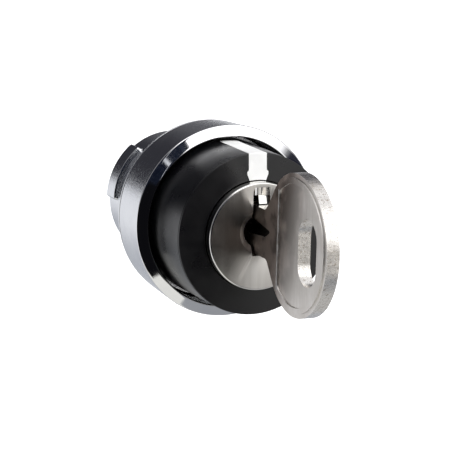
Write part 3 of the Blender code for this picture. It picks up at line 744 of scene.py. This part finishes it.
def cut_trough(item):
    """Carry the slot upwards as a trough with a round floor."""
    radius = (SLOT_HALF ** 2 + TROUGH_SAG ** 2) / (2 * TROUGH_SAG)
    reach = math.asin(SLOT_HALF / radius)
    hollow = [(radius * math.sin(t), CAP_FACE_Y + TROUGH_SAG - radius * (1 - math.cos(t)))
              for t in (reach * k / 12 for k in range(-12, 13))]
    section = [(-SLOT_HALF, CAP_FACE_Y - MM), *hollow, (SLOT_HALF, CAP_FACE_Y - MM)]
    shape = bmesh.new()
    low, high = [[shape.verts.new((x, y, z)) for x, y in section]
                 for z in (SLOT_Z[1] - 0.1 * MM, TROUGH_TOP_Z)]
    for k in range(len(section)):
        after = (k + 1) % len(section)
        shape.faces.new((low[k], low[after], high[after], high[k]))
    shape.faces.new(low)
    shape.faces.new(high)
    combine(item, to_object("trough", shape))


def add_ramps(item, top):
    """Two bright facets beside the key in the slot's upper end, sloping back as they rise."""
    foot, lean = 3.9 * MM, 0.3
    for low_z, left in ((4.72 * MM, -0.2 * MM), (foot, KEY_HALF + 0.06 * MM)):
        low_y, high_y = (CAP_FACE_Y + 0.12 * MM + (z - foot) * lean for z in (low_z, top))
        outline = [(low_y, low_z), (high_y, top), (DISC_REAR_Y, top), (DISC_REAR_Y, low_z)]
        combine(item, prism("ramp", outline, "X", left, SLOT_HALF + 0.1 * MM), "UNION")


def lock_face_slot(face, top):
    """Which material a face takes: 0 brushed, 1 bright, 2 slot wall, 3 countersink."""
    middle, lean = face.center, abs(face.normal.y)
    deep = middle.y > CAP_FACE_Y + 0.1 * MM
    in_slot = abs(middle.x) < SLOT_HALF + 0.05 * MM and SLOT_Z[0] < middle.z < top
    in_dimple = math.hypot(middle.x, middle.z - DIMPLE_Z) < DIMPLE_R + 0.1 * MM
    if not deep and lean > 0.97:
        return 0
    if deep and in_slot and abs(face.normal.z) < 0.25:
        return 2
    if 0.3 < lean < 0.96 and middle.y < CAP_FACE_Y + 0.7 * MM and in_dimple:
        return 3
    return 1


def lock_face():
    """Cap over the lock: countersunk and slotted, with a rounded outer edge."""
    item = turned("lock_face", [
        (0.0, CAP_FACE_Y, 0.0), (CAP_R, CAP_FACE_Y, 0.36 * MM), (CAP_R, CAP_HIGH.y, 0.1 * MM),
        (CAP_INNER_R, CAP_HIGH.y, 0.1 * MM), (CAP_INNER_R, DISC_REAR_Y, 0.1 * MM),
        (0.0, DISC_REAR_Y, 0.0),
    ], FINE, brushed_steel(), bright_steel(), slot_wall(), countersink_steel(), rounding=8)
    top = SLOT_Z[1] + 0.1 * MM
    cut_countersink(item)
    cut_slot(item)
    cut_trough(item)
    add_ramps(item, top)
    soften(item, 0.04 * MM)
    for face in item.data.polygons:
        face.material_index = lock_face_slot(face, top)
    show(item, "selector", "brushed_steel", "face_cap")


# ------------------------------------------------------------------ key

BOW_CENTRE = (-34.5 * MM, 1.4 * MM)
BOW_R = 10.05 * MM
BOW_NECK_R = 9.45 * MM
BOW_CHORD_Y = -29.1 * MM
SHOULDER_Y = -19.4 * MM
NECK_Z = (-2.4 * MM, 4.6 * MM)
BLADE_Z = (-2.3 * MM, 3.3 * MM)
BLADE_TIP_Y = KEY_HIGH.y
BITTING = (0.7 * MM, 1.3 * MM, 0.4 * MM, 1.0 * MM, 1.6 * MM)
BITTING_FIRST_Y = -16.6 * MM
BITTING_PITCH = 2.6 * MM
BITTING_HALF = 0.35 * MM            # half the flat at the bottom of a notch
RING_HOLE_R = 2.85 * MM
RING_HOLE_Y = -38.45 * MM
RING_HOLE_Z = (-0.75 * MM, 2.95 * MM)
PANEL_R = 9.4 * MM                  # the bow's D-shaped panel, framed by a raised ridge
PANEL_CORNERS = (1.7 * MM, 1.2 * MM)
RIDGE_RISE = 0.22 * MM
RIDGE_WIDTH = 0.8 * MM
CHORD_WIDTH = 0.4 * MM
GROOVE_DEPTH = 0.5 * MM


def bow_curve(radius, neck_radius, start, end, steps):
    """Arc of the bow in degrees, with another radius along the key on the neck's side."""
    points = []
    for k in range(steps + 1):
        angle = math.radians(start + (end - start) * k / steps)
        across = neck_radius if math.cos(angle) > 0 else radius
        points.append((BOW_CENTRE[0] + across * math.cos(angle),
                       BOW_CENTRE[1] + radius * math.sin(angle), 0.0))
    return points


def key_outline():
    """Bow, neck and notched blade, as one outline in y and z."""
    edge = []
    for index in reversed(range(len(BITTING))):
        y, depth = BITTING_FIRST_Y + index * BITTING_PITCH, BITTING[index]
        slope = BITTING_HALF + 0.4 * depth
        edge += [(y + slope, BLADE_Z[1], 0.1 * MM),
                 (y + BITTING_HALF, BLADE_Z[1] - depth, 0.15 * MM),
                 (y - BITTING_HALF, BLADE_Z[1] - depth, 0.15 * MM),
                 (y - slope, BLADE_Z[1], 0.1 * MM)]
    return fillet([
        *bow_curve(BOW_R, BOW_NECK_R, 33.0, 322.0, 110),
        (-25.4 * MM, NECK_Z[0] - 0.25 * MM, 0.5 * MM), (-24.8 * MM, NECK_Z[0], 0.4 * MM),
        (SHOULDER_Y, NECK_Z[0], 0.0), (SHOULDER_Y, BLADE_Z[0], 0.0),
        (BLADE_TIP_Y - 0.9 * MM, BLADE_Z[0], 0.3 * MM), (BLADE_TIP_Y, 0.2 * MM, 0.3 * MM),
        (BLADE_TIP_Y, 1.2 * MM, 0.3 * MM), (BLADE_TIP_Y - 1.3 * MM, BLADE_Z[1], 0.3 * MM),
        *edge, (SHOULDER_Y, BLADE_Z[1], 0.0), (SHOULDER_Y, NECK_Z[1], 0.2 * MM),
        (-24.3 * MM, NECK_Z[1], 0.6 * MM), (-24.8 * MM, NECK_Z[1] + 0.3 * MM, 0.5 * MM),
    ])


def panel_outline(radius, chord_y, corner):
    """The bow's D-shaped panel: an arc closed by the chord, with round corners."""
    reach = math.degrees(math.acos((chord_y - BOW_CENTRE[0]) / radius))
    curve = bow_curve(radius, radius, reach, 360.0 - reach, 96)
    first, last = curve[0], curve[-1]
    trimmed = curve[8:-8]
    return fillet([(first[0], first[1], corner), *trimmed, (last[0], last[1], corner)], 8)


def ring_hole():
    """Long hole for the key ring, with round ends."""
    low, high = RING_HOLE_Z
    points = []
    for z, start in ((high, 0.0), (low, 180.0)):
        for k in range(25):
            angle = math.radians(start + 180.0 * k / 24)
            points.append((RING_HOLE_Y + RING_HOLE_R * math.cos(angle),
                           z + RING_HOLE_R * math.sin(angle)))
    return points


def run_out_groove():
    """The milled groove of the blade, running out in the neck."""
    return fillet([
        (BLADE_TIP_Y + MM, 0.2 * MM, 0.0), (SHOULDER_Y, 0.35 * MM, 0.0),
        (-24.6 * MM, 0.7 * MM, 0.8 * MM), (-26.6 * MM, 1.75 * MM, 0.4 * MM),
        (-20.7 * MM, 2.7 * MM, 1.0 * MM), (SHOULDER_Y, 2.3 * MM, 0.3 * MM),
        (SHOULDER_Y, 1.6 * MM, 0.2 * MM), (BLADE_TIP_Y + MM, 1.6 * MM, 0.0),
    ], 6)


def key_slot(face):
    """Which material a face takes: 0 brushed face, 1 sheared rim, 2 rubbed edge, 3 groove."""
    middle, flat = face.center, abs(face.normal.x)
    in_groove = -KEY_HALF + 0.12 * MM < middle.x < -KEY_HALF + 0.6 * MM \
        and middle.y > -27.0 * MM and 0.0 < middle.z < 2.9 * MM
    on_chord = abs(middle.x) > KEY_HALF + RIDGE_RISE / 2 and middle.y > BOW_CHORD_Y - CHORD_WIDTH
    if in_groove:
        return 3
    if flat > 0.93 and not on_chord:
        return 0
    if flat < 0.35 and abs(middle.x) < KEY_HALF - 0.31 * MM:
        return 1
    return 2


def key():
    """Flat stamped key: raised ridge on both sides of the bow, groove on one side only."""
    item = prism("key_blank", key_outline(), "X", -KEY_HALF, KEY_HALF,
                 key_face(), key_rim(), key_edge(), key_groove())
    outside = panel_outline(PANEL_R, BOW_CHORD_Y, PANEL_CORNERS[0])
    inside = panel_outline(PANEL_R - RIDGE_WIDTH, BOW_CHORD_Y - CHORD_WIDTH, PANEL_CORNERS[1])
    for sign in (-1, 1):
        faces = sorted((sign * (KEY_HALF - 0.3 * MM), sign * (KEY_HALF + RIDGE_RISE)))
        ridge = prism("ridge", outside, "X", *faces)
        combine(ridge, prism("inside", inside, "X", -2 * KEY_HALF, 2 * KEY_HALF))
        combine(item, ridge, "UNION")
    faces = (-KEY_HALF - MM, -KEY_HALF + GROOVE_DEPTH)
    combine(item, prism("run_out", run_out_groove(), "X", *faces))
    combine(item, prism("hole", ring_hole(), "X", -2 * KEY_HALF, 2 * KEY_HALF))
    soften(item, 0.07 * MM)
    for face in item.data.polygons:
        face.material_index = key_slot(face)
    show(item, "key", "key_nickel", "key")


# ------------------------------------------------------------------ rear pieces

GUIDE_NECK_R = 8.1 * MM
GUIDE_INNER_R = 7.5 * MM
GUIDE_EYE_R = 2.0 * MM              # hole in the middle, towards the cam's screw
GUIDE_SHOULDER_Y = 12.1 * MM
GUIDE_FLOOR_Y = 14.6 * MM
PIN_HOLE_R = 1.4 * MM
PIN_HOLE_MOUTH_R = 1.85 * MM
PIN_R = 1.1 * MM


def rear_guide():
    """Cup in the barrel's end that guides the push pins."""
    shade_and_tarnish_share, inner, eye, floor = GUIDE_NECK_R, GUIDE_INNER_R, GUIDE_EYE_R, GUIDE_FLOOR_Y
    shoulder, rear = GUIDE_SHOULDER_Y, CAGE_HIGH.y
    plunger_x = (PLUNGER_LOW.x + PLUNGER_HIGH.x) / 2
    item = turned("plunger_guide", [
        (inner, CAGE_LOW.y, 0.1 * MM), (CAGE_HIGH.x, CAGE_LOW.y, 0.1 * MM),
        (CAGE_HIGH.x, shoulder, 0.1 * MM), (shade_and_tarnish_share, shoulder, 0.1 * MM), (shade_and_tarnish_share, rear, 0.4 * MM),
        (eye, rear, 0.2 * MM), (eye, floor, 0.0), (inner, floor, 0.3 * MM),
    ], MEDIUM, black_plastic("guide_black_plastic", (0.38, 0.50)))
    for sign in (-1, 1):
        hole = turned("hole", [
            (0.0, floor - MM, 0.0), (PIN_HOLE_R, floor - MM, 0.0),
            (PIN_HOLE_R, rear - 0.35 * MM, 0.0), (PIN_HOLE_MOUTH_R, rear + 0.1 * MM, 0.0),
            (0.0, rear + 0.1 * MM, 0.0)], SMALL, centre=(sign * plunger_x, 0.0))
        combine(item, hole)
    crease(item.data)
    show(item, "housing", "black_plastic", "rear_cage")


def plungers():
    """Push pins with a domed front, and a collar for their springs."""
    material = natural_plastic("plunger_acetal", ((0.80, 0.79, 0.76), (0.86, 0.85, 0.82)))
    tip, end = PLUNGER_LOW.y, PLUNGER_HIGH.y
    stem, collar = PIN_R, PLUNGER_HIGH.z
    for side in ("left", "right"):
        low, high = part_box("plunger_" + side)
        item = turned("push_pin_" + side, [
            (0.0, tip, 0.0), (stem, tip, 0.9 * MM), (stem, tip + 1.3 * MM, 0.1 * MM),
            (collar, tip + 1.4 * MM, 0.15 * MM), (collar, tip + 2.2 * MM, 0.15 * MM),
            (stem, tip + 2.2 * MM, 0.1 * MM), (stem, end, 0.3 * MM), (0.0, end, 0.0),
        ], SMALL, material, centre=((low.x + high.x) / 2, 0.0), rounding=6)
        show(item, side + "_plunger", "plunger_plastic", "plunger_" + side)


SPRING_R = 1.32 * MM
WIRE_R = 0.13 * MM
SPRING_TURNS = 4
STEPS_PER_TURN = 24
WIRE_SIDES = 10


def plunger_springs():
    """Wire coils behind the pins' collars, built at one fixed length."""
    material = drawn_steel("plunger_spring_wire", ((0.46, 0.47, 0.49), (0.58, 0.59, 0.61)),
                           (0.22, 0.34))
    steps = STEPS_PER_TURN * SPRING_TURNS
    for side in ("left", "right"):
        node = "plunger_spring_" + side
        low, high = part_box(node)
        middle_x = (low.x + high.x) / 2
        start, length = low.y + WIRE_R, high.y - low.y - 2 * WIRE_R
        shape = bmesh.new()
        rows = []
        for k in range(steps + 1):
            angle = math.tau * SPRING_TURNS * k / steps
            out = Vector((math.cos(angle), 0.0, math.sin(angle)))
            middle = Vector((middle_x, start + length * k / steps, 0.0)) + SPRING_R * out
            turns = (math.tau * j / WIRE_SIDES for j in range(WIRE_SIDES))
            rows.append([shape.verts.new(middle + WIRE_R * (math.cos(t) * out + Vector(
                (0.0, math.sin(t), 0.0)))) for t in turns])
        for here, there in zip(rows, rows[1:]):
            for j in range(WIRE_SIDES):
                after = (j + 1) % WIRE_SIDES
                shape.faces.new((here[j], here[after], there[after], there[j]))
        shape.faces.new(rows[0])
        shape.faces.new(rows[-1])
        item = to_object("coil_spring_" + side, shape, material)
        show(item, "housing", "spring_steel", node)
        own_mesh(item)


def dress_cad_nodes():
    """Procedural materials for the CAD pieces that stay as they are."""
    brass = machined_brass()
    spring = drawn_steel("spring_wire", ((0.46, 0.47, 0.49), (0.58, 0.59, 0.61)), (0.22, 0.34))
    plated = drawn_steel("zinc_plated_steel", ((0.58, 0.58, 0.57), (0.68, 0.68, 0.68)), (0.26, 0.4))
    acetal = natural_plastic("grey_acetal", ((0.27, 0.28, 0.29), (0.33, 0.34, 0.35)))
    dress = {"lock_stator": brass, "lock_plug": brass, "knob_seal": seal_rubber(),
             "retaining_ring": spring, "lock_circlip": spring, "drive_cam": acetal,
             "cam_washer": plated, "cam_screw": plated}
    for name, item in frame["nodes"].items():
        material = dress.get(name)
        if material is None and "spring" in name:
            material = spring
        elif material is None and name.startswith("wafer"):
            material = brass
        if material is not None:
            item.data.materials.clear()
            item.data.materials.append(material)


# ------------------------------------------------------------------ studio

def camera():
    """The photograph's view, with its slight roll."""
    azimuth, elevation = math.radians(VIEW_AZIMUTH), math.radians(VIEW_ELEVATION)
    back = Vector((math.sin(azimuth) * math.cos(elevation),
                   -math.cos(azimuth) * math.cos(elevation), math.sin(elevation)))
    place = back * VIEW_DISTANCE
    away = (place - VIEW_AIM).normalized()
    level = Vector((0.0, 0.0, 1.0)).cross(away).normalized()
    roll = Matrix.Rotation(math.radians(VIEW_ROLL), 3, away)
    right = roll @ level
    turn = Matrix((right, away.cross(right), away)).transposed()
    data = bpy.data.cameras.new("camera")
    data.lens = LENS_MM
    data.sensor_width = SENSOR_MM
    data.clip_start = 0.01
    item = link(bpy.data.objects.new("camera", data))
    item.matrix_world = Matrix.Translation(place) @ turn.to_4x4()
    bpy.context.scene.camera = item


WHITE = (1.7, 1.7, 1.7, 1.0)
BLACK = (0.004, 0.004, 0.005, 1.0)
CREAM = (0.78, 0.78, 0.74, 1.0)
TABLE = (0.30, 0.31, 0.33, 1.0)
NAVY = (0.006, 0.008, 0.016, 1.0)


def surround(graph, x, y, z):
    """What lies beside and behind the object: a light tent, with a dark card at the right."""
    tent = graph.mix(graph.ramp(z, -0.75, -0.60), (0.50, 0.50, 0.50, 1.0), (1.0, 1.0, 1.02, 1.0))
    upper_left = graph.math("MULTIPLY", graph.ramp(x, -0.45, -0.30, 1.0, 0.0),
                            graph.ramp(z, -0.12, 0.12))
    tent = graph.mix(upper_left, tent, (0.30, 0.30, 0.31, 1.0))
    back_low = graph.mix(graph.ramp(z, -0.42, -0.18), (0.44, 0.46, 0.50, 1.0),
                         (0.85, 0.86, 0.89, 1.0))
    back_high = graph.mix(graph.ramp(x, 0.0, 0.3), (0.035, 0.035, 0.042, 1.0),
                          (0.12, 0.12, 0.13, 1.0))
    back = graph.mix(graph.ramp(z, 0.01, 0.11), back_low, back_high)
    around = graph.mix(graph.ramp(y, 0.35, 0.60), tent, back)
    reach = graph.math("MAXIMUM", graph.ramp(z, 0.22, 0.32), graph.ramp(y, 0.02, 0.12))
    card = graph.math("MULTIPLY", graph.ramp(x, 0.50, 0.60), reach)
    return graph.mix(card, around, (0.03, 0.03, 0.035, 1.0))


def front_left(graph, source, x, z):
    """Dark cards, with a crinkled navy one above that has one bright line down it."""
    crinkle = graph.ramp(graph.noise(source, 50.0, 4.0, 0.75), 0.55, 0.70)
    card = graph.mix(crinkle, NAVY, (0.15, 0.18, 0.25, 1.0))
    line = graph.math("MULTIPLY", graph.ramp(x, -0.138, -0.130),
                      graph.ramp(x, -0.118, -0.110, 1.0, 0.0))
    card = graph.mix(line, card, (0.7, 0.72, 0.76, 1.0))
    cards = graph.mix(graph.ramp(z, 0.12, 0.16), BLACK, card)
    above = graph.mix(graph.ramp(x, -0.34, -0.22), (0.10, 0.10, 0.11, 1.0), WHITE)
    return graph.mix(graph.ramp(z, 0.50, 0.60), cards, above)


def front_right(graph, x, z):
    """A big white card, a dark gap with a light strip under it, and a dark card far right."""
    strip = graph.math("MULTIPLY", graph.ramp(x, 0.35, 0.43), graph.ramp(x, 0.50, 0.60, 1.0, 0.5))
    gap = graph.mix(strip, (0.03, 0.03, 0.033, 1.0), (0.90, 0.88, 0.85, 1.0))
    lift = graph.math("SUBTRACT", z, graph.ramp(x, 0.15, 0.38, 0.22, 0.0))
    card = graph.mix(graph.ramp(z, 0.25, 0.40), (1.2, 1.2, 1.2, 1.0), WHITE)
    cards = graph.mix(graph.ramp(lift, 0.025, 0.050), gap, card)
    far = graph.math("MULTIPLY", graph.ramp(x, 0.72, 0.78), graph.ramp(z, 0.20, 0.30, 1.0, 0.0))
    return graph.mix(far, cards, (0.02, 0.02, 0.03, 1.0))


def world():
    """A light tent with dark cards for the chrome to mirror, and plain white past the object.
    x, y and z are the direction's parts, so a ramp on one of them is an edge of a card."""
    studio = bpy.data.worlds.new("studio")
    studio.use_nodes = True
    bpy.context.scene.world = studio
    graph = Graph(studio.node_tree)
    studio.node_tree.nodes.clear()
    source = graph.node("ShaderNodeTexCoord").outputs["Generated"]
    x, y, z = graph.axes(source)
    upper = graph.mix(graph.ramp(x, 0.044, 0.056), front_left(graph, source, x, z),
                      front_right(graph, x, z))
    lower = graph.mix(graph.ramp(x, 0.065, 0.085), CREAM, TABLE)
    front = graph.mix(graph.ramp(z, -0.57, -0.555), lower, upper)
    colour = graph.mix(graph.ramp(y, -0.40, -0.34), front, surround(graph, x, y, z))
    shown = graph.mix(graph.node("ShaderNodeLightPath").outputs["Is Camera Ray"], colour,
                      (1.0, 1.0, 1.0, 1.0))
    background = graph.node("ShaderNodeBackground")
    graph.put(shown, background.inputs["Color"])
    output = graph.node("ShaderNodeOutputWorld")
    graph.put(background.outputs[0], output.inputs["Surface"])


def softbox(name, place, energy):
    """A square soft light that shines on the knob and stays out of reflections."""
    data = bpy.data.lights.new(name, "AREA")
    data.shape = "RECTANGLE"
    data.size, data.size_y = SOFTBOX_SIZE, SOFTBOX_SIZE
    data.energy = energy
    item = link(bpy.data.objects.new(name, data))
    item.location = place
    item.rotation_euler = (Vector(place) - SOFTBOX_AIM).to_track_quat("Z", "Y").to_euler()
    item.visible_glossy = False


def floor():
    """Pale floor below the object. It is kept out of the chrome, whose cards are in the world."""
    shape = bmesh.new()
    bmesh.ops.create_grid(shape, x_segments=4, y_segments=4, size=FLOOR_HALF)
    item = to_object("floor", shape, studio_floor())
    item.location = (0.0, 0.0, cad_box[0][2] - FLOOR_DROP)
    item.visible_glossy = False
    item.visible_diffuse = False


def main():
    camera()
    world()
    floor()
    softbox("top_softbox", (-0.10, -0.15, 0.45), 1.0)
    softbox("front_softbox", (0.20, -0.50, 0.25), 1.6)
    bpy.context.scene.view_settings.view_transform = "Standard"
    for make in (bezel_and_barrel, gasket, knob, pointer, lock_face, key, rear_guide, plungers,
                 plunger_springs, dress_cad_nodes):
        make()


main()
